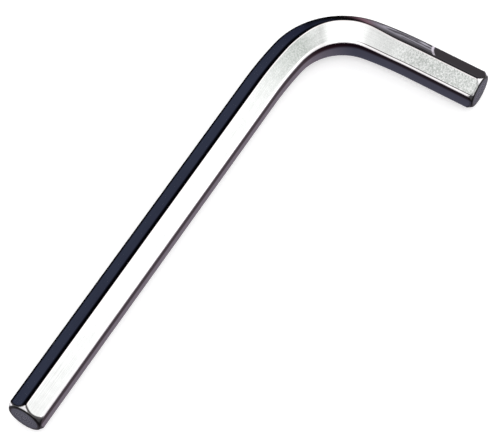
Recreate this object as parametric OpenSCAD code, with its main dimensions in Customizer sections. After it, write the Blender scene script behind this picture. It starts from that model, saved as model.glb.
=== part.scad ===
// Hex key: one hexagonal bar bent into an L, lying flat.
// The L lies in the XY plane with its bend at low X and low Y. The long arm runs towards +X and
// the short arm towards +Y. The bar has a flat on the inside and on the outside of the bend, so it
// rests on the rounded edge that runs underneath both arms.
// Origin: on the surface it rests on, under the middle of its outline box.

/* [Bar] */
// Width across the flats, the size of the screw that it fits
across_flats = 6; // [4:0.5:8]
// Rounding along the six long edges
edge_round = 0.25; // [0.1:0.05:0.5]

/* [Arms] */
// Long arm, from its tip to the outside flat of the short arm
long_arm = 94; // [70:1:160]
// Short arm, from its tip to the outside flat of the long arm
short_arm = 35; // [30:1:60]

/* [Bend] */
// Main radius of the bend, on the centre line of the bar
bend_radius = 12; // [9:0.5:16]
// Radius of the slack curve that leads in and out of the main bend, on the centre line
slack_radius = 72; // [40:1:90]
// Angle turned by each slack curve
slack_angle = 7; // [3:0.5:10]

/* [Turned tips] */
// How far the flat face of a tip stays inside the flats
tip_inset = 0.1; // [0.05:0.05:0.4]
// Chamfer of the tips, measured from the axis of the bar
tip_angle = 45; // [35:1:60]
// Rounding between the flat face and the chamfer
tip_round = 0.3; // [0.1:0.05:0.5]

/* [Smoothness] */
// Steps round each long edge and each tip rim
round_steps = 4; // [2:1:8]
// Steps in a full turn of the bend and of the turned tips
turn_steps = 180; // [90:10:256]

/* [Hidden] */

// Full angle between the two arms
bend_angle = 90;
// Angle of the main bend, between the two slack curves
main_angle = bend_angle - 2 * slack_angle;
// A regular hexagon: its corners lie every 60 degrees
corner_pitch = 60;
// Centre of the rounding of a corner, from the axis of the bar
corner_centre = (across_flats / 2 - edge_round) / cos(corner_pitch / 2);
// Height of the rounded top and bottom edges above and below the axis
edge_height = corner_centre + edge_round;

// Straight length taken up by the bend on each arm, from where the two centre lines would cross
bend_run = slack_radius * (sin(slack_angle) + 1 - cos(slack_angle))
         + bend_radius * (cos(slack_angle) - sin(slack_angle));
// Tips, from where the two centre lines would cross
long_reach = long_arm - across_flats / 2;
short_reach = short_arm - across_flats / 2;

// Centre of the main bend, which lies as far from one arm as from the other
bend_centre = slack_radius - (slack_radius - bend_radius) * cos(slack_angle);

// Radius of the flat face, and of the point where its rim starts to round off
tip_r = across_flats / 2 - tip_inset;
rim_turn = 90 - tip_angle;
rim_start = tip_r - tip_round * tan(rim_turn / 2);
// Radius that clears the corners of the bar
clear_r = 2 * edge_height;

// Section of the bar: X points away from the inside of the bend, Y is up, corners at top and bottom
function rounded_hexagon() = [
    for (corner = [0 : 5])
        for (step = [0 : round_steps])
            let (
                middle = corner_pitch / 2 + corner * corner_pitch,
                turn = middle + corner_pitch * (step / round_steps - 1 / 2)
            )
            [
                corner_centre * cos(middle) + edge_round * cos(turn),
                corner_centre * sin(middle) + edge_round * sin(turn)
            ]
];

// Half profile of the turned tip: flat face, rounded rim, then the cone that runs out past the corners
function tip_profile(reach) = concat(
    [[0, 0], [0, reach]],
    [
        for (step = [0 : round_steps])
            let (turn = 90 - rim_turn * step / round_steps)
            [rim_start + tip_round * cos(turn), reach - tip_round + tip_round * sin(turn)]
    ],
    [
        [clear_r, reach - (clear_r - tip_r) / tan(tip_angle)],
        [clear_r, 0]
    ]
);

module bar_section() {
    polygon(rounded_hexagon());
}

// Straight arm that stands on Z = 0 and ends in a turned tip at the top
module arm(reach) {
    intersection() {
        linear_extrude(height = reach) bar_section();
        rotate_extrude($fn = turn_steps) polygon(tip_profile(reach));
    }
}

// Moves its children in two steps, round hundredths first and the small rest after, so that
// neighbouring curves of the bend meet without a rounding gap
module place(target) {
    whole = [for (value = target) round(value * 100) / 100];
    translate(whole) translate(target - whole) children();
}

// Curved length of bar round a vertical line at its centre, counterclockwise from the given direction
module curve(centre, radius, from, angle) {
    place(centre)
        rotate_extrude(start = from, angle = angle, $fn = turn_steps)
            translate([radius, 0]) bar_section();
}

// Straight arm along +X and the slack curve that leads it into the bend
module leg(reach) {
    place([bend_run, 0, 0])
        rotate([90, 0, 90])
            arm(reach - bend_run);
    curve([bend_run, slack_radius, 0], slack_radius, 270 - slack_angle, slack_angle);
}

module main_bend() {
    curve([bend_centre, bend_centre, 0], bend_radius, 180 + slack_angle, main_angle);
}

module key() {
    color([0.70, 0.71, 0.73])
        translate([
            -(long_arm - across_flats) / 2,
            -(short_arm - across_flats) / 2,
            edge_height
        ])
            union() {
                leg(long_reach);
                main_bend();
                mirror([1, -1, 0]) leg(short_reach);
            }
}

key();
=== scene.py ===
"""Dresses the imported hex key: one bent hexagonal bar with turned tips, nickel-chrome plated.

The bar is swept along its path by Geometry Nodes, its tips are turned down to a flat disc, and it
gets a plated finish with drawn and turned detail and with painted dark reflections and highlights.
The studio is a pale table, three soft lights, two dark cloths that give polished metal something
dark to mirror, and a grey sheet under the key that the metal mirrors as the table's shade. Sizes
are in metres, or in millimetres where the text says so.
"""

import logging
import math
from dataclasses import dataclass, field
from enum import Enum

import bpy
from mathutils import Matrix, Vector


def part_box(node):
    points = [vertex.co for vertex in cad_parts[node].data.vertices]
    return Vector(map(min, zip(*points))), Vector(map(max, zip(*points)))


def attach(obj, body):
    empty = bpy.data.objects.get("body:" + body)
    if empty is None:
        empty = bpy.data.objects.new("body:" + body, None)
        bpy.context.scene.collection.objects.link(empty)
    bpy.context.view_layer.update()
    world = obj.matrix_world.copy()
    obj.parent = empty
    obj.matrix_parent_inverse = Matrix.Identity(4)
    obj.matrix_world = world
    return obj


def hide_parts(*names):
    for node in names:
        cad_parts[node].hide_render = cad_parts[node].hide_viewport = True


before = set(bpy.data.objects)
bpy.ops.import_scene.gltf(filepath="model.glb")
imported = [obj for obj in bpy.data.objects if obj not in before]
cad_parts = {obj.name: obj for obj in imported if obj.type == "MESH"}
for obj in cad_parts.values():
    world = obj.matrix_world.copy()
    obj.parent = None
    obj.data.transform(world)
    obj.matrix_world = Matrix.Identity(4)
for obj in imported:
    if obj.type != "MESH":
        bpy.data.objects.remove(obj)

MM = 0.001
LOG = logging.getLogger("hex_key")
WHITE = "#ffffff"
# Corners of a square, counterclockwise.
SQUARE = ((-1, -1), (1, -1), (1, 1), (-1, 1))
# Half the angle that one side of the hexagon takes up.
HALF_SIDE = math.pi / 6
# Length along the bar that parts the tip of the long arm from the tip of the short arm.
HALFWAY = 60 * MM
# A grey of this power of a share is about as light as the share, once it is linear.
GREY_POWER = 0.45
STORE = "GeometryNodeStoreNamedAttribute"
STORED = "GeometryNodeInputNamedAttribute"
MOVE = "GeometryNodeSetPosition"
SMOOTH = {"interpolation_type": "SMOOTHSTEP"}

Span = tuple[float, float]
Band = tuple[float, float, float, float]
Ramp = tuple[tuple[float, str], ...]


def linear(shade: str) -> tuple[float, ...]:
    """Turns an sRGB hex colour into linear red, green and blue.

    Args:
        shade: Colour as "#rrggbb".

    Returns:
        Linear red, green and blue, and an alpha of 1.
    """
    parts = [int(shade[start : start + 2], 16) / 255 for start in (1, 3, 5)]
    flat = [p / 12.92 if p <= 0.04045 else ((p + 0.055) / 1.055) ** 2.4 for p in parts]
    return (*flat, 1.0)


class Sheet:
    """A node tree being drawn, whose outputs are called by the names given to them."""

    def __init__(self, tree: bpy.types.NodeTree) -> None:
        """Starts on an emptied tree."""
        tree.nodes.clear()
        self.tree = tree
        self.made: dict[str, bpy.types.NodeSocket] = {}

    def add(self, name: str, kind: str, *values: object, **settings: object) -> bpy.types.Node:
        """Adds one node with its settings and links.

        Args:
            name: What later nodes call its first output. Its other outputs are name.Output.
            kind: Blender's name for this type of node, which may leave out ShaderNode, and then its
                operation, if it has one. An operation alone means a Math node.
            *values: Inputs in order: a number, vector or data block, an sRGB shade, a string that
                names an earlier output unless the socket takes text, None to leave one as it is, or
                a pair of the socket's name or place and its value.
            **settings: Properties of the node, and stops, the (place, sRGB shade) pairs of a ramp,
                which runs from the first place to the last.

        Returns:
            The new node.
        """
        words = kind.split()
        if words[-1].isupper():
            settings["operation"] = words.pop()
        kind = words[0] if words else "Math"
        node = self.tree.nodes.new(kind if "Node" in kind else f"ShaderNode{kind}")
        stops = settings.pop("stops", ())
        if stops:
            steps = node.color_ramp.elements
            first, last = stops[0][0], stops[-1][0]
            steps[0].color = linear(stops[0][1])
            steps[1].color = linear(stops[-1][1])
            for place, shade in stops[1:-1]:
                steps.new((place - first) / (last - first)).color = linear(shade)
        for key, value in settings.items():
            setattr(node, key, value)
        for place, value in enumerate(values):
            if isinstance(value, tuple) and len(value) == 2:
                place, value = value
            if value is None:
                continue
            socket = node.inputs[place]
            if isinstance(value, str) and value.startswith("#"):
                value = linear(value)
            if isinstance(value, str) and socket.type != "STRING":
                self.tree.links.new(self.made[value], socket)
            else:
                socket.default_value = value
        for output in reversed(node.outputs):
            self.made[f"{name}.{output.name}"] = output
            if output.enabled:
                self.made[name] = output
        return node

    def work(self, *lines: tuple[object, ...], **settings: object) -> None:
        """Adds one node for each line, all with the same settings.

        Args:
            *lines: Lines of (name, kind, *values), as add takes them.
            **settings: Properties of every node.
        """
        for name, kind, *values in lines:
            self.add(name, kind, *values, **settings)

    def band(self, name: str, value: str, limits: Band, **settings: object) -> None:
        """Adds a share that rises from 0 to 1 and falls back.

        Args:
            name: What later nodes call the share.
            value: Name of the output that it follows.
            limits: Where it starts to rise, is full, starts to fall, and is 0 again.
            **settings: Properties of both slopes.
        """
        self.work(
            (f"{name}_rise", "MapRange", value, *limits[:2]),
            (f"{name}_fall", "MapRange", value, *limits[2:], 1.0, 0.0),
            **settings,
        )
        self.add(name, "MULTIPLY", f"{name}_rise", f"{name}_fall")


def blank(name: str) -> tuple[bpy.types.Material, Sheet]:
    """Starts a material.

    Args:
        name: Name of the material.

    Returns:
        The material, and the sheet that it is drawn on.
    """
    made = bpy.data.materials.new(name)
    made.use_nodes = True
    return made, Sheet(made.node_tree)


def steel(name: str) -> tuple[bpy.types.Material, Sheet]:
    """Starts a finish of the key from the attributes "bar" and "tip", which its points carry.

    Args:
        name: Name of the material.

    Returns:
        The material, and its sheet with the parts of both attributes, two distances in millimetres,
        away from the inside of the bend and from the tip's axis, and which arm's tip is near.
    """
    made, sheet = blank(name)
    for carried in ("bar", "tip"):
        sheet.add(carried, "Attribute", attribute_name=carried)
        sheet.add(f"{carried}_parts", "SeparateXYZ", f"{carried}.Vector")
    sheet.work(
        ("away", "DIVIDE", "bar_parts.Y", MM),
        ("radius", "DIVIDE", "tip_parts.X", MM),
        ("short_end", "GREATER_THAN", "bar_parts.X", HALFWAY),
    )
    return made, sheet


def polish(sheet: Sheet) -> None:
    """Ends a finish of the key, from its outputs called tone, rough and high.

    Args:
        sheet: The material's sheet.
    """
    surface = (("Base Color", "tone"), ("Metallic", 1.0), ("Roughness", "rough"), ("Normal", "bump"))
    sheet.add("bump", "Bump", ("Strength", 0.5), ("Distance", 1.0), ("Height", "high"))
    sheet.add("metal", "BsdfPrincipled", *surface)
    sheet.add("out", "OutputMaterial", "metal")


@dataclass(frozen=True)
class BarSection:
    """Rounded hexagon with a flat towards the inside of the bend and an edge on top.

    Its points are gathered at the rounded edges, by a power.
    """

    across_flats: float = 6 * MM
    edge_round: float = 0.25 * MM
    points_per_edge: int = 18
    gather: float = 2.2

    @property
    def half(self) -> float:
        """Distance from the axis to a flat."""
        return self.across_flats / 2

    @property
    def corner_radius(self) -> float:
        """Distance from the axis to the top of a rounded edge."""
        return (self.half - self.edge_round) / math.cos(HALF_SIDE) + self.edge_round

    @property
    def flat_height(self) -> float:
        """Height above the axis at which the upright flats start to round off."""
        return (self.half - self.edge_round) * math.tan(HALF_SIDE)


@dataclass(frozen=True)
class BarPath:
    """Centre line of the bar: two straight arms, a main bend and a slack curve on each side."""

    long_arm: float = 94 * MM
    short_arm: float = 35 * MM
    bend_radius: float = 12 * MM
    slack_radius: float = 72 * MM
    slack_angle: float = math.radians(7)
    slack_steps: int = 14
    bend_steps: int = 76
    arm_steps: int = 6


@dataclass(frozen=True)
class TurnedTip:
    """Tip turned to a cone, a rounded rim and a flat disc, each on its own rows of faces."""

    inset: float = 0.1 * MM
    angle: float = math.radians(33)
    rim_round: float = 0.3 * MM
    blend: float = 0.12 * MM
    cut_from: float = 0.02 * MM
    depth: float = 1.0 * MM
    support: float = 0.6 * MM
    overrun: float = 0.01 * MM
    disc_steps: int = 6
    rim_steps: int = 5
    cone_steps: int = 15


@dataclass(frozen=True)
class BendLean:
    """How far the upper faces lean outwards in the bend, and where along the bar they do."""

    size: float = 0.92 * MM
    along: Band = (84 * MM, 93 * MM, 95 * MM, 104.5 * MM)


@dataclass(frozen=True)
class PlatedSteel:
    """Drawn steel bar, barrelled, nickel plated and flashed with chrome.

    To the eye it is a bright mirror with a faint orange peel and fine drawing lines. It is grainy
    where the bar was worked. The inside flat is painted darker as a dark reflection, most of all in
    the bend. Narrow near-black lines along the ridge and the outer edges are painted dark
    reflections, and bright lines on the polished borders at the inner edge and beside the ridge are
    painted highlights. Places are in millimetres: along the bar, away from the inside of the bend,
    up from the axis, or past the mark of the bending die.
    """

    # Tones of the upper and lower faces by the distance away, and of the inside flat by the height.
    # The faces get painted near-black dark reflections along the ridge and the outer edge, and
    # painted highlights on the polished borders at the inner edge and beside the ridge. The inside
    # flat is light below, a painted dark reflection above, and a painted highlight at its top edge.
    face_and_painted_edge_tones: Ramp = (
        (-3.00, "#f5f2f3"), (-2.62, "#f5f2f3"), (-2.50, "#e0e1e0"), (-0.26, "#e0e1e0"),
        (-0.16, "#f8f1f1"), (-0.12, "#f8f1f1"), (-0.05, "#121014"), (0.48, "#121014"),
        (0.85, "#c6c8cc"), (2.45, "#c6c8cc"), (2.72, "#131115"), (3.00, "#131115"),
    )
    inner_flat_painted_tones: Ramp = (
        (-1.75, "#d3ccd3"), (-0.10, "#c9c0c8"), (0.45, "#55333f"),
        (1.45, "#2d0f1b"), (1.56, "#e9dfe2"), (1.75, "#f5f2f3"),
    )
    # Multiplies the inside flat's tone in the bend: a painted dark reflection.
    bend_shaded_tone: str = "#98a5b4"
    outer_flat_tone: str = "#9b9aa0"
    grain_tone: str = "#949a95"
    # Near black, for the painted dark reflection line beside the inner edge, the painted dark
    # reflections at the die's mark, and the thin dark line that ends the flats.
    near_black_tone: str = "#1b1517"
    # The die's ring is a painted highlight in this tone.
    ring_highlight_tone: str = "#f4f1f4"
    # How much the steel was worked, by the place along the bar.
    worked_along: tuple[Span, ...] = (
        (0.0, 0.0), (58.0, 0.05), (70.0, 0.20), (76.0, 0.45), (81.0, 0.85), (85.0, 1.0),
        (87.5, 0.60), (91.0, 0.04), (98.0, 0.02), (104.0, 0.40), (108.0, 0.85), (122.5, 0.80),
    )
    # Sizes of the patterns, and how far two of them are drawn out along the bar.
    grain_size: float = 0.32
    peel_size: float = 1.6
    line_size: float = 0.14
    streak_size: float = 0.42
    line_stretch: float = 0.015
    streak_stretch: float = 0.12
    # The inside flat is painted darker in the bend, as a dark reflection, where its tones also drop.
    bend_shaded_along: Span = (84.0, 96.0)
    bend_shaded_drop: float = 0.5
    # The grain keeps clear of the polished borders of its face, and gets more speckled.
    grain_away: Band = (-2.75, -2.55, -0.26, -0.08)
    speckled_along: Span = (86.0, 104.0)
    speckled: Span = (0.3, 0.9)
    grain_share: float = 0.9
    # A fine dark line beside the inner edge of the short arm is a painted dark reflection.
    reflection_line_away: Band = (-2.76, -2.70, -2.63, -2.57)
    reflection_line_along: Span = (94.0, 99.0)
    reflection_line_share: float = 0.9
    # The bending die left a bowed step, which the bump carries. On it a bright ring is painted as a
    # highlight, and dark streaks before it and a dark face past it are painted dark reflections.
    mark_along: float = 108.9
    mark_bow: float = 0.2
    mark_away: Span = (0.45, 0.6)
    ring_past: Band = (-0.2, 0.0, 0.25, 0.4)
    dark_past: Span = (0.25, 0.45)
    step_past: Span = (-0.05, 0.3)
    rise_past: Span = (-3.0, -0.1)
    streaks_along: Span = (95.0, 101.0)
    low_side_away: Span = (0.9, 2.0)
    streak_share: float = 0.85
    # A thin dark line ends the flats at the cones. It is fainter inside the short arm's tip.
    end_gap: Span = (0.14, 0.24)
    end_share: float = 0.9
    end_faint: float = 0.5
    # How far a flat's tone reaches on to its rounded edges.
    edge_fade: Span = (-0.02, 0.04)
    # Between which values of the noise the grain gets its specks, and the streaks show.
    speck_noise: Span = (0.40, 0.60)
    streak_noise: Span = (0.45, 0.55)
    # The drawing lines and the peel shade the plate, and the lines and the grain roughen it.
    line_shade: Span = (0.30, 0.76)
    peel_shade: float = 0.18
    grain_rough: Band = (0.35, 0.7, 0.05, 0.11)
    line_rough: Band = (0.3, 0.8, 0.0, 0.05)
    worked_rough: float = 0.06
    # Heights of the grain, the peel, the drawing lines and the die's mark.
    heights: Band = (0.0025 * MM, 0.006 * MM, 0.0005 * MM, 0.5 * MM)

    def material(self, section: BarSection, tip: TurnedTip) -> bpy.types.Material:
        """Draws the finish on the straightened bar, which the attribute "bar" holds.

        Args:
            section: The bar's section, which the tones are spread over.
            tip: The turned tip, whose cone ends the flats.

        Returns:
            The material.
        """
        made, sheet = steel("nickel_chrome_plated_steel")
        sheet.work(
            ("along", "DIVIDE", "bar_parts.X", MM),
            ("up", "DIVIDE", "bar_parts.Z", MM),
            ("inward", "LESS_THAN", "away", 0.0),
        )
        self._textures(sheet)
        self._tones(sheet, section)
        self._grain(sheet)
        self._marks(sheet, section, tip)
        self._layers(sheet)
        grain_high, peel_high, line_high, mark_high = self.heights
        # Plate follows the bar's grain: duller where the grain is strong.
        sheet.work(
            ("rough_a", "MapRange", "grain.Fac", *self.grain_rough),
            ("rough_b", "MapRange", "drawn.Fac", *self.line_rough),
            ("rough_c", "ADD", "rough_a", "rough_b"),
            ("rough", "MULTIPLY_ADD", "worked", self.worked_rough, "rough_c"),
            ("high_a", "MULTIPLY", "grain.Fac", "worked"),
            ("high_b", "MULTIPLY", "high_a", grain_high),
            ("high_c", "MULTIPLY_ADD", "peel.Fac", peel_high, "high_b"),
            ("high_d", "MULTIPLY_ADD", "drawn.Fac", line_high, "high_c"),
            ("high", "MULTIPLY_ADD", "mark_step", mark_high, "high_d"),
        )
        polish(sheet)
        return made

    def _textures(self, sheet: Sheet) -> None:
        """Adds the peel of the plate, the grain of worked steel, the drawing lines and the streaks.

        Args:
            sheet: The material's sheet.
        """
        # The grain is 0.1 mm and less on real keys, and drawing lines are a few hundredths wide.
        # Both are drawn coarser so that they show. A noise takes scale, detail and roughness.
        sheet.work(
            ("drawn_way", "VectorMath MULTIPLY", "bar.Vector", (self.line_stretch, 1.0, 1.0)),
            ("streak_way", "VectorMath MULTIPLY", "bar.Vector", (self.streak_stretch, 1.0, 1.0)),
            ("peel", "TexNoise", "bar.Vector", None, 1 / (self.peel_size * MM)),
            ("grain", "TexNoise", "bar.Vector", None, 1 / (self.grain_size * MM), 4.0, 0.7),
            ("drawn", "TexNoise", "drawn_way", None, 1 / (self.line_size * MM), 3.0, 0.6),
            ("streak", "TexNoise", "streak_way", None, 1 / (self.streak_size * MM), 3.0),
        )

    def _tones(self, sheet: Sheet, section: BarSection) -> None:
        """Sets the tones across the section and the share of working along the bar.

        Args:
            sheet: The material's sheet.
            section: The bar's section.
        """
        half, low = section.half / MM, section.flat_height / MM
        tall = self.inner_flat_painted_tones[-1][0]
        fade, clear = self.edge_fade
        sheet.work(
            ("over", "MapRange", "away", -half, half),
            # Share of the bend in which the inside flat is painted darker as a dark reflection.
            ("squeezed", "MapRange", "along", *self.bend_shaded_along),
            ("lower", "MULTIPLY_ADD", "squeezed", -self.bend_shaded_drop, "up"),
            ("beside", "MapRange", "lower", -tall, tall),
            ("height", "ABSOLUTE", "up"),
            ("upright", "MapRange", "height", low + fade, low + clear, 1.0, 0.0),
            ("way", "MapRange", "along", 0.0, self.worked_along[-1][0]),
        )
        # The faces' tones hold painted dark reflections and painted highlights along the edges, and
        # the inside flat's tones a painted dark reflection and a painted highlight.
        sheet.add("face_tone", "ValToRGB", "over", stops=self.face_and_painted_edge_tones)
        sheet.add("flat_tone", "ValToRGB", "beside", stops=self.inner_flat_painted_tones)
        levels = [(x, round(255 * w**GREY_POWER)) for x, w in self.worked_along]
        greys = tuple((x, "#" + 3 * f"{level:02x}") for x, level in levels)
        sheet.add("worked_grey", "ValToRGB", "way", stops=greys)
        sheet.add("worked", "RGBToBW", "worked_grey")

    def _grain(self, sheet: Sheet) -> None:
        """Lays the grain on the faces turned to the inside, and the painted dark reflection line
        beside their edge.

        Args:
            sheet: The material's sheet.
        """
        sheet.band("grain_band", "away", self.grain_away)
        # The painted dark reflection line beside the inner edge of the short arm.
        sheet.band("crease_band", "away", self.reflection_line_away)
        sheet.work(
            ("speck", "MapRange", "grain.Fac", *self.speck_noise),
            ("contrast", "MapRange", "along", *self.speckled_along, *self.speckled),
            ("even", "SUBTRACT", 1.0, "contrast"),
            ("grain_a", "MULTIPLY", "grain_band", "worked"),
            ("grain_b", "MULTIPLY_ADD", "speck", "contrast", "even"),
            ("grain_c", "MULTIPLY", "grain_a", "grain_b"),
            ("grainy", "MULTIPLY", "grain_c", self.grain_share),
            ("crease_on", "MapRange", "along", *self.reflection_line_along, 0.0, self.reflection_line_share),
            ("crease", "MULTIPLY", "crease_band", "crease_on"),
        )

    def _marks(self, sheet: Sheet, section: BarSection, tip: TurnedTip) -> None:
        """Adds the bending die's mark on the outside face of the short arm, with its painted
        highlight and painted dark reflections, and the flats' ends.

        Args:
            sheet: The material's sheet.
            section: The bar's section.
            tip: The turned tip.
        """
        half = section.half / MM
        sheet.work(
            ("outside", "MapRange", "away", *self.mark_away),
            ("bow", "SUBTRACT", "away", half),
            ("bow_2", "MULTIPLY", "bow", "bow"),
            ("mark_at", "MULTIPLY_ADD", "bow_2", self.mark_bow, self.mark_along),
            ("past", "SUBTRACT", "along", "mark_at"),
            ("step", "MapRange", "past", *self.step_past, 1.0, 0.0),
            ("rise", "MapRange", "past", *self.rise_past),
            ("step_a", "MULTIPLY", "step", "rise"),
            ("mark_step", "MULTIPLY", "step_a", "outside"),
            # Dark streaks before the ring and a dark face past it, painted as dark reflections.
            ("streaky", "MapRange", "streak.Fac", *self.streak_noise),
            ("near_mark", "MapRange", "along", *self.streaks_along),
            ("low_side", "MapRange", "away", *self.low_side_away, self.streak_share, 0.0),
            ("beyond", "MapRange", "past", *self.dark_past),
            ("dark_a", "MULTIPLY", "streaky", self.streak_share),
            ("dark_b", "MAXIMUM", "dark_a", "low_side"),
            ("dark_c", "MULTIPLY", "dark_b", "near_mark"),
            ("dark_d", "MAXIMUM", "dark_c", "beyond"),
            ("dark", "MULTIPLY", "dark_d", "outside"),
        )
        # The ring, painted as a highlight.
        sheet.band("ring_band", "past", self.ring_past)
        slope, tip_radius = math.tan(tip.angle) / MM, half - tip.inset / MM
        sheet.work(
            ("ring", "MULTIPLY", "ring_band", "outside"),
            ("cone", "MULTIPLY_ADD", "tip_parts.Y", slope, tip_radius),
            ("gap", "SUBTRACT", "cone", "radius"),
            ("faint", "MULTIPLY", "short_end", "inward"),
            ("line_dark", "MULTIPLY_ADD", "faint", -self.end_faint, self.end_share),
            ("end", "MapRange", "gap", *self.end_gap, 1.0, 0.0),
            ("end_line", "MULTIPLY", "end", "line_dark"),
        )

    def _layers(self, sheet: Sheet) -> None:
        """Lays the tones over each other, and the drawing lines and the peel over them all.

        Args:
            sheet: The material's sheet.
        """
        # The inside flat's painted dark reflection deepens in the bend.
        values = ("squeezed", (6, "flat_tone"), (7, self.bend_shaded_tone))
        sheet.add("inner_tone", "Mix", *values, data_type="RGBA", blend_type="MULTIPLY")
        # Over the tones go the grain, the painted dark reflection line, the die's painted dark
        # reflections and highlight ring, and the dark line that ends the flats.
        sheet.work(
            ("side_tone", "Mix", "inward", (6, self.outer_flat_tone), (7, "inner_tone")),
            ("grained", "Mix", "grainy", (6, "face_tone"), (7, self.grain_tone)),
            ("creased", "Mix", "crease", (6, "grained"), (7, self.near_black_tone)),
            ("plain", "Mix", "upright", (6, "creased"), (7, "side_tone")),
            ("marked", "Mix", "dark", (6, "plain"), (7, self.near_black_tone)),
            ("ringed", "Mix", "ring", (6, "marked"), (7, self.ring_highlight_tone)),
            ("ended", "Mix", "end_line", (6, "ringed"), (7, self.near_black_tone)),
            data_type="RGBA",
        )
        sheet.work(
            ("lines_a", "MULTIPLY_ADD", "drawn.Fac", *self.line_shade),
            ("lines", "MULTIPLY_ADD", "peel.Fac", self.peel_shade, "lines_a"),
            ("tone", "VectorMath SCALE", "ended", ("Scale", "lines")),
        )


@dataclass(frozen=True)
class TurnedSteel:
    """Tip faced and chamfered on a lathe before plating.

    To the eye the flat disc is satin with fine concentric marks and is painted darker as a dark
    reflection, a thin dark line is painted at its rim as a dark reflection, and the chamfer is
    bright but for its inner corner, which is painted dark as a dark reflection. Places are in
    millimetres.
    """

    # Tones by the distance from the tip's axis: the disc, painted darker as a dark reflection, a
    # near-black ring painted at the rim as a dark reflection, and the bright chamfer.
    tones: Ramp = (
        (0.00, "#9198a3"), (2.44, "#838a96"), (2.56, "#08070a"),
        (2.98, "#08070a"), (3.05, "#e4e2e5"), (3.50, "#f2f0f2"),
    )
    # Near black painted on the cone where it turns to the inside of the bend, as a dark reflection.
    painted_corner_tone: str = "#08070a"
    mark_size: float = 0.14
    cone_from: float = 2.6
    corner_away: Span = (-1.95, -1.6)
    corner_share: float = 0.95
    short_shift: float = 0.8
    mark_height: float = 0.004 * MM
    mark_shade: Span = (0.5, 0.75)
    roughness: Band = (0.3, 0.7, 0.18, 0.30)

    def material(self) -> bpy.types.Material:
        """Draws the finish round the axis of each tip, from the attribute "tip".

        Returns:
            The material.
        """
        made, sheet = steel("turned_plated_steel")
        # The cone is painted dark, as a dark reflection, where it turns to the inside of the bend.
        sheet.work(
            ("out_from", "MapRange", "radius", 0.0, self.tones[-1][0]),
            ("corner", "MULTIPLY_ADD", "short_end", self.short_shift, "away"),
            ("on_cone", "GREATER_THAN", "radius", self.cone_from),
            ("in_corner", "MapRange", "corner", *self.corner_away, self.corner_share, 0.0),
            ("dark_corner", "MULTIPLY", "in_corner", "on_cone"),
        )
        sheet.add("plain", "ValToRGB", "out_from", stops=self.tones)
        values = ("dark_corner", (6, "plain"), (7, self.painted_corner_tone))
        sheet.add("cornered", "Mix", *values, data_type="RGBA")
        # Feed marks are about 0.05 mm apart, and are drawn coarser so that they show.
        sheet.work(
            ("rings_at", "CombineXYZ", "tip_parts.X", 0.0, 0.0),
            ("rings", "TexNoise", "rings_at", None, 1 / (self.mark_size * MM), 2.0),
            ("shade", "MULTIPLY_ADD", "rings.Fac", *self.mark_shade),
            ("high", "MULTIPLY", "rings.Fac", self.mark_height),
            ("tone", "VectorMath SCALE", "cornered", ("Scale", "shade")),
            ("rough", "MapRange", "rings.Fac", *self.roughness),
        )
        polish(sheet)
        return made


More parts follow.
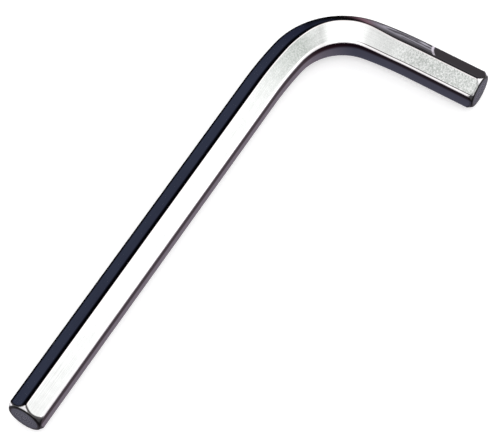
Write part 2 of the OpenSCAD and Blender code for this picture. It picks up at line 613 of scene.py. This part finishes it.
@dataclass
class HexKey:
    """The key: section, path and tips, swept by Geometry Nodes and dressed."""

    section: BarSection = field(default_factory=BarSection)
    path: BarPath = field(default_factory=BarPath)
    tip: TurnedTip = field(default_factory=TurnedTip)
    lean: BendLean = field(default_factory=BendLean)
    plate: PlatedSteel = field(default_factory=PlatedSteel)
    turned: TurnedSteel = field(default_factory=TurnedSteel)
    weld: float = 0.0001 * MM

    def sizes(self) -> dict[str, float | Vector]:
        """Collects the sizes that the node tree takes.

        Returns:
            The sizes, by the names of the tree's inputs.
        """
        half = self.section.half
        tip_radius = half - self.tip.inset
        rim = self.tip.rim_round * math.tan((math.pi / 2 - self.tip.angle) / 2)
        low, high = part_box("key")
        return {
            "Across Flats": self.section.across_flats,
            "Edge Round": self.section.edge_round,
            "Long Reach": self.path.long_arm - half,
            "Short Reach": self.path.short_arm - half,
            "Bend Radius": self.path.bend_radius,
            "Slack Radius": self.path.slack_radius,
            "Slack Angle": self.path.slack_angle,
            "Tip Radius": tip_radius,
            "Tip Slope": math.tan(self.tip.angle),
            "Rim Start": tip_radius - rim,
            "Rim Round": self.tip.rim_round,
            "Rim End": self.tip.rim_round * (1 - math.sin(self.tip.angle)),
            "Lean": self.lean.size,
            "Place": Vector((low.x + half, low.y + half, (low.z + high.z) / 2)),
        }

    def _section(self, sheet: Sheet) -> None:
        """Draws the section's curve, with its points gathered at the rounded edges.

        Args:
            sheet: The tree's sheet.
        """
        count = self.section.points_per_edge
        sheet.work(
            ("index", "GeometryNodeInputIndex"),
            ("edge_number", "DIVIDE", "index", float(count)),
            ("corner", "FLOOR", "edge_number"),
            ("within", "SUBTRACT", "edge_number", "corner"),
            ("centred", "MULTIPLY_ADD", "within", 2.0, 1.0 / count - 1.0),
            ("side", "SIGN", "centred"),
            ("size", "ABSOLUTE", "centred"),
            ("gathered", "POWER", "size", self.section.gather),
            ("half_flats", "MULTIPLY", "Across Flats", 0.5),
            ("core", "SUBTRACT", "half_flats", "Edge Round"),
            ("half_arc", "MULTIPLY", "Edge Round", HALF_SIDE),
            ("half_side", "MULTIPLY_ADD", "core", math.tan(HALF_SIDE), "half_arc"),
            ("run_out", "MULTIPLY", "gathered", "half_side"),
            ("on_arc", "MINIMUM", "run_out", "half_arc"),
            ("past_arc", "SUBTRACT", "run_out", "on_arc"),
            ("turn", "DIVIDE", "on_arc", "Edge Round"),
            ("turn_cos", "COSINE", "turn"),
            ("turn_sin", "SINE", "turn"),
            ("centre", "DIVIDE", "core", math.cos(HALF_SIDE)),
            ("out_arc", "MULTIPLY_ADD", "turn_cos", "Edge Round", "centre"),
            ("out", "MULTIPLY_ADD", "past_arc", -math.sin(HALF_SIDE), "out_arc"),
            ("up_arc", "MULTIPLY", "turn_sin", "Edge Round"),
            ("up_side", "MULTIPLY_ADD", "past_arc", math.cos(HALF_SIDE), "up_arc"),
            ("up", "MULTIPLY", "up_side", "side"),
            ("heading", "MULTIPLY_ADD", "corner", 2 * HALF_SIDE, HALF_SIDE),
            ("on_edge", "CombineXYZ", "out", "up", 0.0),
        )
        sheet.add("placed", "VectorRotate", "on_edge", ("Angle", "heading"), rotation_type="Z_AXIS")
        sheet.add("ring", "GeometryNodeCurvePrimitiveCircle", 6 * count)
        sheet.add("shaped", MOVE, "ring", None, "placed")
        sheet.add("kept", STORE, "shaped", None, "section", "placed", data_type="FLOAT_VECTOR")

    def _path(self, sheet: Sheet) -> None:
        """Draws the centre line: a line of five corners whose middle three are filleted.

        Args:
            sheet: The tree's sheet.
        """
        sheet.work(
            ("half_slack", "MULTIPLY", "Slack Angle", 0.5),
            ("slack_tan", "TANGENT", "half_slack"),
            ("slack_reach", "MULTIPLY", "slack_tan", "Slack Radius"),
            ("half_main", "SUBTRACT", math.pi / 4, "Slack Angle"),
            ("main_tan", "TANGENT", "half_main"),
            ("main_reach", "MULTIPLY", "main_tan", "Bend Radius"),
            ("between", "ADD", "slack_reach", "main_reach"),
            ("slack_cos", "COSINE", "Slack Angle"),
            ("slack_sin", "SINE", "Slack Angle"),
            ("middle", "MULTIPLY", "between", "slack_sin"),
            ("first", "MULTIPLY_ADD", "between", "slack_cos", "middle"),
            ("bend_run", "ADD", "first", "slack_reach"),
            ("long_end", "ADD", "Long Reach", "Rim Start"),
            ("short_end", "ADD", "Short Reach", "Rim Start"),
        )
        corners = (
            ("long_end", 0.0, None),
            ("first", 0.0, "Slack Radius"),
            ("middle", "middle", "Bend Radius"),
            (0.0, "first", "Slack Radius"),
            (0.0, "short_end", None),
        )
        places = sheet.add("at", "GeometryNodeIndexSwitch", "index", data_type="VECTOR")
        radii = sheet.add("fillet", "GeometryNodeIndexSwitch", "index", data_type="FLOAT")
        for switch in (places, radii):
            while len(switch.index_switch_items) < len(corners):
                switch.index_switch_items.new()
        for number, (x, y, radius) in enumerate(corners, 1):
            sheet.add("spot", "CombineXYZ", x, y, 0.0)
            sheet.tree.links.new(sheet.made["spot"], places.inputs[number])
            if radius:
                sheet.tree.links.new(sheet.made[radius], radii.inputs[number])
        sheet.work(
            ("line", "GeometryNodeMeshLine", len(corners)),
            ("bent", MOVE, "line", None, "at"),
            ("wire", "GeometryNodeMeshToCurve", "bent"),
        )
        values = ("wire", ("Count", 4 * self.path.bend_steps), ("Radius", "fillet"))
        sheet.add("centre_line", "GeometryNodeFilletCurve", *values, mode="POLY")

    def _stations(self, sheet: Sheet) -> None:
        """Places the stations at which the section is set on the centre line, close at the tips.

        Args:
            sheet: The tree's sheet.
        """
        path, tip = self.path, self.tip
        sheet.work(
            ("disc", "SUBTRACT", "Rim Start", tip.support),
            ("cone", "SUBTRACT", tip.depth, "Rim End"),
            ("tip_run", "ADD", "bend_run", tip.depth),
            ("long_run", "SUBTRACT", "Long Reach", "tip_run"),
            ("short_run", "SUBTRACT", "Short Reach", "tip_run"),
            ("slack_run", "MULTIPLY", "Slack Radius", "Slack Angle"),
            ("main_angle", "MULTIPLY", "half_main", 2.0),
            ("main_run", "MULTIPLY", "Bend Radius", "main_angle"),
        )
        end = (("disc", tip.disc_steps), ("Rim End", tip.rim_steps), ("cone", tip.cone_steps))
        stretches = (
            (tip.support, 1),
            *end,
            ("long_run", path.arm_steps),
            ("slack_run", path.slack_steps),
            ("main_run", path.bend_steps),
            ("slack_run", path.slack_steps),
            ("short_run", path.arm_steps),
            *reversed(end),
            (tip.support + tip.overrun, 1),
        )
        done = 0
        total: object = 0.0
        for length, steps in stretches:
            sheet.add("stretch", "MapRange", "index", float(done), float(done + steps), 0.0, length)
            sheet.add("total", "ADD", total, "stretch")
            total = "total"
            done += steps
        values = (("Curves", "centre_line"), ("Length", "total"))
        sheet.add("station", "GeometryNodeSampleCurve", *values, mode="LENGTH")
        sheet.work(
            ("stations", "GeometryNodeMeshLine", done + 1),
            ("placed", MOVE, "stations", None, "station.Position"),
            ("rail", "GeometryNodeMeshToCurve", "placed"),
            ("measured", STORE, "rail", None, "along", "total"),
        )
        sheet.add("level", "GeometryNodeSetCurveNormal", "measured", mode="Z_UP")

    def _lean(self, sheet: Sheet) -> None:
        """Pushes the upper faces outwards in the bend, where the bending die pressed the bar.

        Args:
            sheet: The tree's sheet.
        """
        low = self.section.corner_radius / 2
        sheet.add("across", STORED, "section", data_type="FLOAT_VECTOR")
        # Once it is swept, the section's X points to the inside of the bend and its Y down.
        sheet.work(
            ("along", STORED, "along"),
            ("split", "SeparateXYZ", "across"),
            ("away", "MULTIPLY", "split.X", -1.0),
            ("upward", "MULTIPLY", "split.Y", -1.0),
            ("raised", "MapRange", "upward", -low, 2 * low),
            ("raised_2", "MULTIPLY", "raised", "raised"),
            ("inner", "MapRange", "away", 0.0, self.section.half, 1.0, 0.0),
            ("hub_back", "SUBTRACT", "Slack Radius", "Bend Radius"),
            ("hub_far", "MULTIPLY", "hub_back", "slack_cos"),
            ("hub", "SUBTRACT", "Slack Radius", "hub_far"),
        )
        sheet.band("in_bend", "along", self.lean.along, **SMOOTH)
        sheet.work(
            ("lean_a", "MULTIPLY", "raised_2", "inner"),
            ("lean_b", "MULTIPLY", "in_bend", "lean_a"),
            ("lean", "MULTIPLY", "lean_b", "Lean"),
            ("spot", "GeometryNodeInputPosition"),
            ("spot_parts", "SeparateXYZ", "spot"),
            ("hub_at", "CombineXYZ", "hub", "hub", "spot_parts.Z"),
            ("from_hub", "VectorMath SUBTRACT", "spot", "hub_at"),
            ("outwards", "VectorMath NORMALIZE", "from_hub"),
            ("push", "VectorMath SCALE", "outwards", ("Scale", "lean")),
            ("leaning", MOVE, "swept", ("Offset", "push")),
        )

    def _turn_tip(
        self, sheet: Sheet, name: str, bar: str, axis: tuple[float, ...], reach: str
    ) -> None:
        """Turns one tip down to its cone, rim and disc, and calls the result "turned".

        Args:
            sheet: The tree's sheet.
            name: Name of the attribute that marks what was cut.
            bar: Name of the geometry to turn.
            axis: Direction of the arm.
            reach: Name of the tip's distance from where the centre lines cross.
        """
        sheet.work(
            ("spot", "GeometryNodeInputPosition"),
            ("x", "VectorMath DOT_PRODUCT", "spot", axis),
            ("foot", "VectorMath SCALE", axis, ("Scale", "x")),
            ("arm", "VectorMath SUBTRACT", "spot", "foot"),
            ("rho", "VectorMath LENGTH", "arm"),
            ("depth", "SUBTRACT", reach, "x"),
            ("inside", "MAXIMUM", "depth", 0.0),
            ("beyond", "SUBTRACT", "inside", "depth"),
            ("rim_left", "SUBTRACT", "Rim Round", "inside"),
            ("rim_in", "MAXIMUM", "rim_left", 0.0),
            ("rim_in_2", "MULTIPLY", "rim_in", "rim_in"),
            ("round_2", "MULTIPLY", "Rim Round", "Rim Round"),
            ("rise_2", "SUBTRACT", "round_2", "rim_in_2"),
            ("rise", "SQRT", "rise_2"),
            ("rim", "ADD", "rise", "Rim Start"),
            ("cone_r", "MULTIPLY_ADD", "inside", "Tip Slope", "Tip Radius"),
            ("past_rim", "GREATER_THAN", "inside", "Rim End"),
            ("step_up", "SUBTRACT", "cone_r", "rim"),
            ("turned_r", "MULTIPLY_ADD", "step_up", "past_rim", "rim"),
            ("limit", "SUBTRACT", "turned_r", "beyond"),
            ("limit_0", "MAXIMUM", "limit", 0.0),
            ("new_r", "SMOOTH_MIN", "rho", "limit_0", self.tip.blend),
            ("keep_r", "MAXIMUM", "new_r", 0.0),
            ("share", "DIVIDE", "keep_r", "rho"),
            ("new_x", "MINIMUM", "x", reach),
            ("near", "LESS_THAN", "depth", 2 * self.tip.depth),
            ("cut", "SUBTRACT", "rho", "keep_r"),
            ("is_cut", "GREATER_THAN", "cut", self.tip.cut_from),
            ("cut_here", "MULTIPLY", "is_cut", "near"),
            ("forth", "VectorMath SCALE", axis, ("Scale", "new_x")),
            ("off", "VectorMath SCALE", "arm", ("Scale", "share")),
            ("new", "VectorMath ADD", "forth", "off"),
            ("radius_depth", "CombineXYZ", "keep_r", "depth", 0.0),
        )
        sheet.add("marked", STORE, bar, None, name, "cut_here", data_type="BOOLEAN")
        sheet.add("sized", STORE, "marked", "near", "tip", "radius_depth", data_type="FLOAT_VECTOR")
        sheet.add("turned", MOVE, "sized", "near", "new")

    def _tree(self) -> bpy.types.NodeTree:
        """Draws the whole tree, from section and path to the finished key.

        Returns:
            The tree.
        """
        tree = bpy.data.node_groups.new("bent_hexagon_bar", "GeometryNodeTree")
        sheet = Sheet(tree)
        for name, value in self.sizes().items():
            kind = "NodeSocketVector" if isinstance(value, Vector) else "NodeSocketFloat"
            tree.interface.new_socket(name, in_out="INPUT", socket_type=kind)
        tree.interface.new_socket("Geometry", in_out="OUTPUT", socket_type="NodeSocketGeometry")
        inputs = tree.nodes.new("NodeGroupInput")
        sheet.made.update({output.name: output for output in inputs.outputs})
        self._section(sheet)
        self._path(sheet)
        self._stations(sheet)
        sheet.add("swept", "GeometryNodeCurveToMesh", "level", "kept")
        self._lean(sheet)
        self._turn_tip(sheet, "turned_long", "leaning", (1.0, 0.0, 0.0), "Long Reach")
        self._turn_tip(sheet, "turned_short", "turned", (0.0, 1.0, 0.0), "Short Reach")
        for name in ("turned_long", "turned_short"):
            sheet.add(name, STORED, name, data_type="BOOLEAN")
        sheet.add("straight", "CombineXYZ", "along", "away", "upward")
        sheet.add("bar", STORE, "turned", None, "bar", "straight", data_type="FLOAT_VECTOR")
        plate = self.plate.material(self.section, self.tip)
        sheet.work(
            ("closed", "GeometryNodeMergeByDistance", "bar", None, self.weld),
            ("smooth", "GeometryNodeSetShadeSmooth", "closed"),
            ("standing", "GeometryNodeTransform", "smooth", ("Translation", "Place")),
            ("tips", "FunctionNodeBooleanMath OR", "turned_long", "turned_short"),
            ("real", "GeometryNodeRealizeInstances", "standing"),
            ("plated", "GeometryNodeSetMaterial", "real", None, plate),
            ("finished", "GeometryNodeSetMaterial", "plated", "tips", self.turned.material()),
            ("result", "NodeGroupOutput", "finished"),
        )
        return tree

    def build(self) -> bpy.types.Object:
        """Sweeps the key and turns the result into a plain mesh.

        Returns:
            The key's object, at the origin with its place in its mesh.
        """
        tree = self._tree()
        source = bpy.data.objects.new("key_source", bpy.data.meshes.new("key_source"))
        bpy.context.scene.collection.objects.link(source)
        modifier = source.modifiers.new("sweep", "NODES")
        modifier.node_group = tree
        for item in tree.interface.items_tree:
            if item.in_out == "INPUT":
                modifier[item.identifier] = self.sizes()[item.name]
        seen = source.evaluated_get(bpy.context.evaluated_depsgraph_get())
        mesh = bpy.data.meshes.new_from_object(seen)
        bpy.data.objects.remove(source)
        mesh.name = "plated_key"
        key = bpy.data.objects.new("plated_key", mesh)
        bpy.context.scene.collection.objects.link(key)
        return key


class StageKind(Enum):
    """How a studio piece is seen."""

    TABLE = "by the camera too"
    SOFTBOX = "in reflections and as light"
    CLOTH = "in reflections alone"


def staged(
    name: str,
    kind: StageKind,
    corners: list[Vector],
    shares: list[Span] | None = None,
    faces: tuple[tuple[int, ...], ...] = ((0, 1, 2, 3),),
) -> Sheet:
    """Args:
        name: Name of the object.
        kind: How it is seen.
        corners: Corner points.
        shares: Shares of the width and height at which the corners lie, for its UV map.
        faces: Faces, as places in the list of corners.

    Returns:
        The sheet of its material, with the parts of the UV map if it has one.
    """
    mesh = bpy.data.meshes.new(name)
    mesh.from_pydata(corners, [], faces)
    made, sheet = blank(name)
    mesh.materials.append(made)
    thing = bpy.data.objects.new(name, mesh)
    bpy.context.scene.collection.objects.link(thing)
    thing.visible_camera = kind is StageKind.TABLE
    thing.visible_diffuse = kind is not StageKind.CLOTH
    thing.visible_shadow = kind is not StageKind.CLOTH
    if shares:
        spread = mesh.uv_layers.new(name="spread").data
        for loop, place in zip(mesh.loops, spread):
            place.uv = shares[loop.vertex_index]
        sheet.add("spread", "UVMap", uv_map="spread")
        sheet.add("parts", "SeparateXYZ", "spread")
    LOG.info("stage %s", name)
    return sheet


@dataclass(frozen=True)
class Card:
    """A flat studio card that stands round the key.

    Azimuth is counted from +X towards +Y, and elevation from the table, both in degrees. Its
    borders fade into the white of the room.
    """

    name: str
    kind: StageKind
    azimuth: float
    elevation: float
    width: float
    height: float
    strength: float
    shade: str = WHITE
    distance: float = 0.6
    feather: float = 0.06

    def build(self, aim: Vector) -> None:
        """Makes the card and turns it to the key.

        Args:
            aim: Point that the card faces.
        """
        turn, lift = math.radians(self.azimuth), math.radians(self.elevation)
        flat = math.cos(lift)
        way = Vector((math.cos(turn) * flat, math.sin(turn) * flat, math.sin(lift)))
        side = Vector((-math.sin(turn), math.cos(turn), 0.0)) * self.width / 2
        rise = way.cross(side).normalized() * self.height / 2
        middle = aim + way * self.distance
        corners = [middle + side * x + rise * y for x, y in SQUARE]
        shares = [((x + 1) / 2, (y + 1) / 2) for x, y in SQUARE]
        sheet = staged(self.name, self.kind, corners, shares)
        for axis, size in (("X", self.width), ("Y", self.height)):
            sheet.work(
                ("off", "SUBTRACT", f"parts.{axis}", 0.5),
                ("far", "ABSOLUTE", "off"),
                ("left", "MULTIPLY_ADD", "far", -size, size / 2),
            )
            sheet.add(f"fade_{axis}", "MapRange", "left", 0.0, self.feather, **SMOOTH)
        sheet.add("fade", "MULTIPLY", "fade_X", "fade_Y")
        sheet.add("shade", "Mix", "fade", (6, WHITE), (7, self.shade), data_type="RGBA")
        sheet.work(
            ("strength", "MULTIPLY_ADD", "fade", self.strength - 1.0, 1.0),
            ("glow", "Emission", "shade", "strength"),
            ("out", "OutputMaterial", "glow"),
        )


@dataclass(frozen=True)
class CurvedCloth:
    """A low dark cloth hung in an arc close round the outside of the bend, with its foot spread.

    Only the key mirrors it. Lengths are in millimetres, and azimuths in degrees.
    """

    name: str = "dark_arc_cloth"
    centre: Span = (-15.0, 5.0)
    radius: float = 78.0
    start: float = 166.0
    stop: float = 316.0
    height: float = 70.0
    steps: int = 48
    # Where the foot ends: beside the key's outside, round a corner, over shares of the length.
    foot_height: float = 0.04
    inset: float = 1.5
    end_inset: float = 1.0
    corner: float = 13.0
    short_share: float = 0.33
    long_share: float = 0.5
    # Tones by height beside the long arm, by azimuth round the bend, and where they meet.
    long_side: Ramp = (
        (0.0, "#2c3042"), (8.0, "#30344a"), (12.0, "#3a3e50"), (15.0, "#43485b"),
        (24.0, "#333748"), (31.0, "#08080a"), (70.0, "#0a0a0c"),
    )
    round_bend: Ramp = (
        (166.0, "#e4dfe9"), (192.0, "#e4dfe9"), (200.0, "#a59ca7"), (207.0, "#a07a86"),
        (211.0, "#4a363d"), (214.0, "#0b0a0c"), (316.0, "#0b0a0c"),
    )
    meeting: Span = (218.0, 224.0)

    def foot(self, share: float) -> Vector:
        """Follows the outside of the key, from the short tip round the bend to the long tip.

        Args:
            share: Share of the cloth's length.

        Returns:
            Where the spread foot of the cloth ends.
        """
        low, high = (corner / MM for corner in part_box("key"))
        x, y = low.x + self.inset, low.y + self.inset
        if share < self.short_share:
            y = high.y + (y + self.corner - high.y) * share / self.short_share
        elif share < self.long_share:
            done = (share - self.short_share) / (self.long_share - self.short_share)
            turn = math.pi + math.pi / 2 * done
            x += self.corner * (1 + math.cos(turn))
            y += self.corner * (1 + math.sin(turn))
        else:
            x += self.corner
            x += (high.x - self.end_inset - x) * (share - self.long_share) / (1 - self.long_share)
        return Vector((x, y, self.foot_height)) * MM

    def build(self) -> None:
        """Hangs the cloth."""
        corners: list[Vector] = []
        shares: list[Span] = []
        for step in range(self.steps + 1):
            share = step / self.steps
            turn = math.radians(self.start + (self.stop - self.start) * share)
            x = self.centre[0] + self.radius * math.cos(turn)
            y = self.centre[1] + self.radius * math.sin(turn)
            corners.append(self.foot(share))
            corners += [Vector((x, y, z)) * MM for z in (self.foot_height, self.height)]
            shares += [(share, 0.0), (share, 0.0), (share, 1.0)]
        firsts = [3 * step + row for step in range(self.steps) for row in (0, 1)]
        faces = tuple((first, first + 3, first + 4, first + 1) for first in firsts)
        sheet = staged(self.name, StageKind.CLOTH, corners, shares, faces)
        span = self.stop - self.start
        meeting = [(turn - self.start) / span for turn in self.meeting]
        sheet.add("by_height", "ValToRGB", "parts.Y", stops=self.long_side)
        sheet.add("by_turn", "ValToRGB", "parts.X", stops=self.round_bend)
        sheet.add("long_part", "MapRange", "parts.X", *meeting, **SMOOTH)
        sheet.add("shade", "Mix", "long_part", (6, "by_turn"), (7, "by_height"), data_type="RGBA")
        sheet.add("glow", "Emission", "shade", 1.0)
        sheet.add("out", "OutputMaterial", "glow")


@dataclass(frozen=True)
class Viewpoint:
    """The camera at the photograph's viewing angle, with its lens and its place in millimetres."""

    lens: float = 167.63
    sensor: float = 36.0
    right: tuple[float, ...] = (-0.519197, 0.854653, 0.001825)
    up: tuple[float, ...] = (-0.740864, -0.451133, 0.497594)
    back: tuple[float, ...] = (0.426094, 0.256997, 0.867408)
    place: tuple[float, ...] = (161.2455, 95.6809, 335.8867)

    def build(self) -> None:
        """Sets up the camera."""
        data = bpy.data.cameras.new("camera")
        data.sensor_width = self.sensor
        data.lens = self.lens
        turned = Matrix((self.right, self.up, self.back)).transposed().to_4x4()
        turned.translation = Vector(self.place) * MM
        camera = bpy.data.objects.new("camera", data)
        camera.matrix_world = turned
        bpy.context.scene.collection.objects.link(camera)
        bpy.context.scene.camera = camera


@dataclass
class Studio:
    """Pale table, soft light, dark cloths, a grey sheet mirrored as the table's shade, and the
    camera.
    """

    cards: tuple[Card, ...] = (
        Card("right_softbox", StageKind.SOFTBOX, 140, 40, 0.54, 0.74, 1.48, feather=0.13),
        Card("top_softbox", StageKind.SOFTBOX, 34, 63, 0.66, 0.56, 1.5, feather=0.15),
        Card("left_softbox", StageKind.SOFTBOX, 302, 12, 0.38, 0.28, 1.6),
        Card("front_cloth", StageKind.CLOTH, 24, 14, 0.55, 0.26, 1.0, "#2b2b31"),
    )
    aim: tuple[float, ...] = (0.0, 0.0, 3 * MM)
    arc_cloth: CurvedCloth = CurvedCloth()
    viewpoint: Viewpoint = Viewpoint()
    table_shade: str = "#e6e6e6"
    table_size: float = 8.0
    table_lift: float = 0.42
    # A grey sheet under the key that only the key mirrors, standing in for the table's shade.
    shade_sheet_tone: str = "#8a848c"
    shade_sheet_margin: float = 9 * MM
    paper_fade: float = 6 * MM
    shade_sheet_height: float = 0.02 * MM

    def table(self) -> None:
        """Lays the table top at the height the key rests on, lifted to white where it is seen."""
        half = self.table_size / 2
        corners = [Vector((x * half, y * half, 0.0)) for x, y in SQUARE]
        sheet = staged("table_top", StageKind.TABLE, corners)
        sheet.work(
            ("top", "BsdfDiffuse", self.table_shade),
            ("ray", "LightPath"),
            ("seen_a", "ADD", "ray.Is Camera Ray", "ray.Is Glossy Ray"),
            ("seen", "ADD", "seen_a", "ray.Is Transmission Ray"),
            ("lift", "MULTIPLY", "seen", self.table_lift),
            ("glow", "Emission", WHITE, "lift"),
            ("lit", "AddShader", "top", "glow"),
            ("out", "OutputMaterial", "lit"),
        )

    def shade_sheet(self) -> None:
        """Lays a grey sheet under the key as the table's shade, which only the key mirrors, and
        fades its border.
        """
        low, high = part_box("key")
        middle = (low + high) / 2
        reach = (high - low) / 2 + Vector((1, 1, 0)) * self.shade_sheet_margin
        corners = [
            Vector((middle.x + x * reach.x, middle.y + y * reach.y, self.shade_sheet_height))
            for x, y in SQUARE
        ]
        sheet = staged("mirrored_shade_sheet", StageKind.CLOTH, corners)
        sheet.add("place", "TexCoord")
        sheet.add("parts", "SeparateXYZ", "place.Object")
        for axis, centre, size in (("X", middle.x, reach.x), ("Y", middle.y, reach.y)):
            sheet.work(
                ("off", "SUBTRACT", f"parts.{axis}", centre),
                ("far", "ABSOLUTE", "off"),
                (f"fade_{axis}", "MapRange", "far", size - self.paper_fade, size, 1.0, 0.0),
            )
        sheet.work(
            ("fade", "MULTIPLY", "fade_X", "fade_Y"),
            ("clear", "BsdfTransparent"),
            ("grey", "Emission", self.shade_sheet_tone, 1.0),
            ("mixed", "MixShader", "fade", "clear", "grey"),
            ("out", "OutputMaterial", "mixed"),
        )

    def world(self) -> None:
        """Gives the world a plain white at strength 1."""
        world = bpy.data.worlds.new("plain_white")
        bpy.context.scene.world = world
        world.use_nodes = True
        sheet = Sheet(world.node_tree)
        sheet.add("white", "Background", WHITE, 1.0)
        sheet.add("out", "OutputWorld", "white")

    def build(self) -> None:
        """Sets up table, mirrored shade sheet, world, cards, cloth and camera."""
        self.table()
        self.shade_sheet()
        self.world()
        for card in self.cards:
            card.build(Vector(self.aim))
        self.arc_cloth.build()
        self.viewpoint.build()


def main() -> None:
    """Builds the key and its studio."""
    logging.basicConfig(level=logging.INFO, format="%(message)s")
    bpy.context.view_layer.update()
    bpy.context.scene.view_settings.view_transform = "Standard"
    Studio().build()
    key = HexKey().build()
    LOG.info("%s: %d faces", key.name, len(key.data.polygons))
    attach(key, "root")
    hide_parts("key")


if __name__ == "__main__":
    main()
